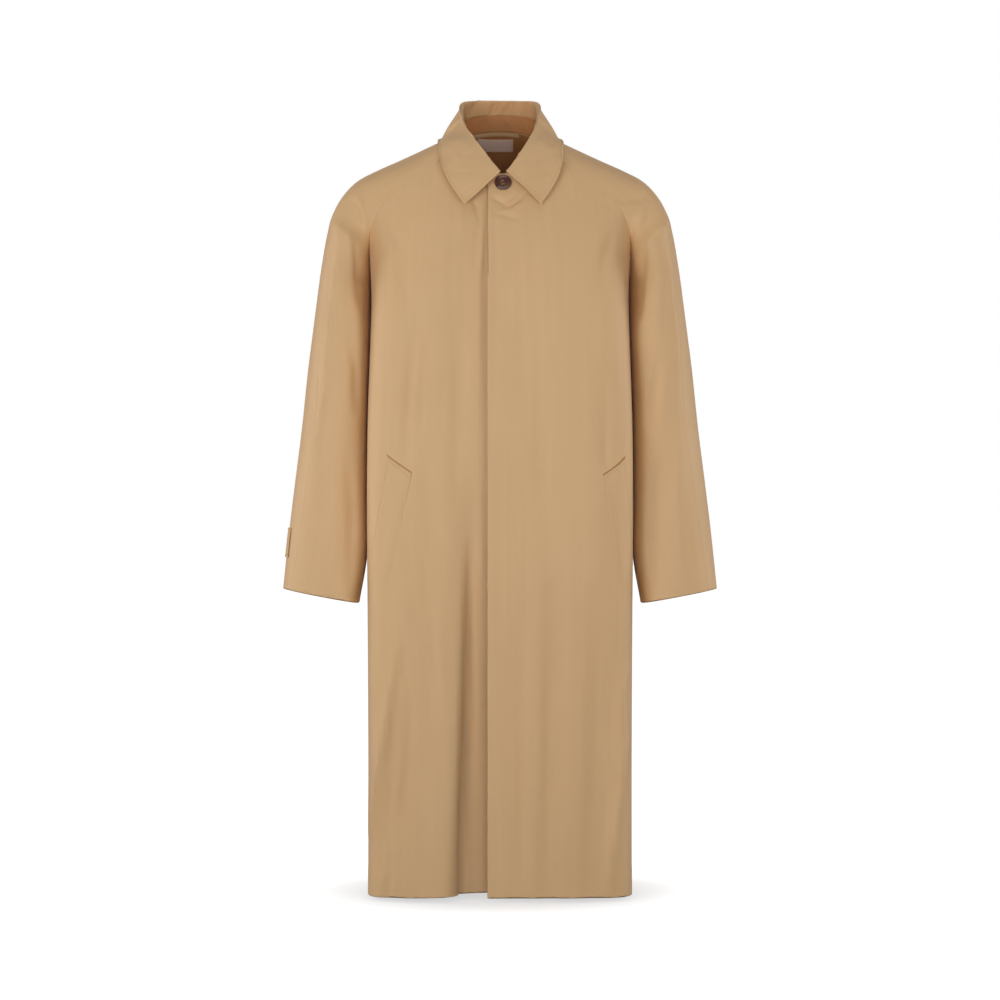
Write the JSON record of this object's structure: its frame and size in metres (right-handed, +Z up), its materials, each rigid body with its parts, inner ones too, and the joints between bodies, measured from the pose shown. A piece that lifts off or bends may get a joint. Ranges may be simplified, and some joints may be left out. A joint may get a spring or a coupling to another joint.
{
  "type": "coat",
  "caption": "Long raglan coat with a point collar, hidden front closure, slanted welt pockets and sleeve tabs, in the hollow form it takes when worn.",
  "frame": {"origin": "middle of the neck base, level with the side of the neck, where the wearer's shoulders hold the coat up", "axes": "+Z up, the front faces -Y, +X is the wearer's left"},
  "size_m": [0.6448, 0.2665, 1.1916],
  "materials": {
    "gabardine": "beige cotton gabardine with a fine steep twill and a slight sheen",
    "label_tape": "plain woven tape, blank",
    "horn": "dark brown mottled horn-effect resin, polished"
  },
  "bodies": {
    "root": {"front_left": "gabardine", "front_right": "gabardine", "back_left": "gabardine", "back_right": "gabardine", "sleeve_left_front": "gabardine", "sleeve_left_back": "gabardine", "sleeve_right_front": "gabardine", "sleeve_right_back": "gabardine", "collar_stand": "gabardine", "collar_fall": "gabardine", "pocket_welt_left": "gabardine", "pocket_welt_right": "gabardine", "sleeve_tab_left": "gabardine", "sleeve_tab_right": "gabardine", "hanger_loop": "gabardine", "label": "label_tape", "collar_button": "horn", "tab_button_left": "horn", "tab_button_right": "horn"}
  },
  "joints": []
}
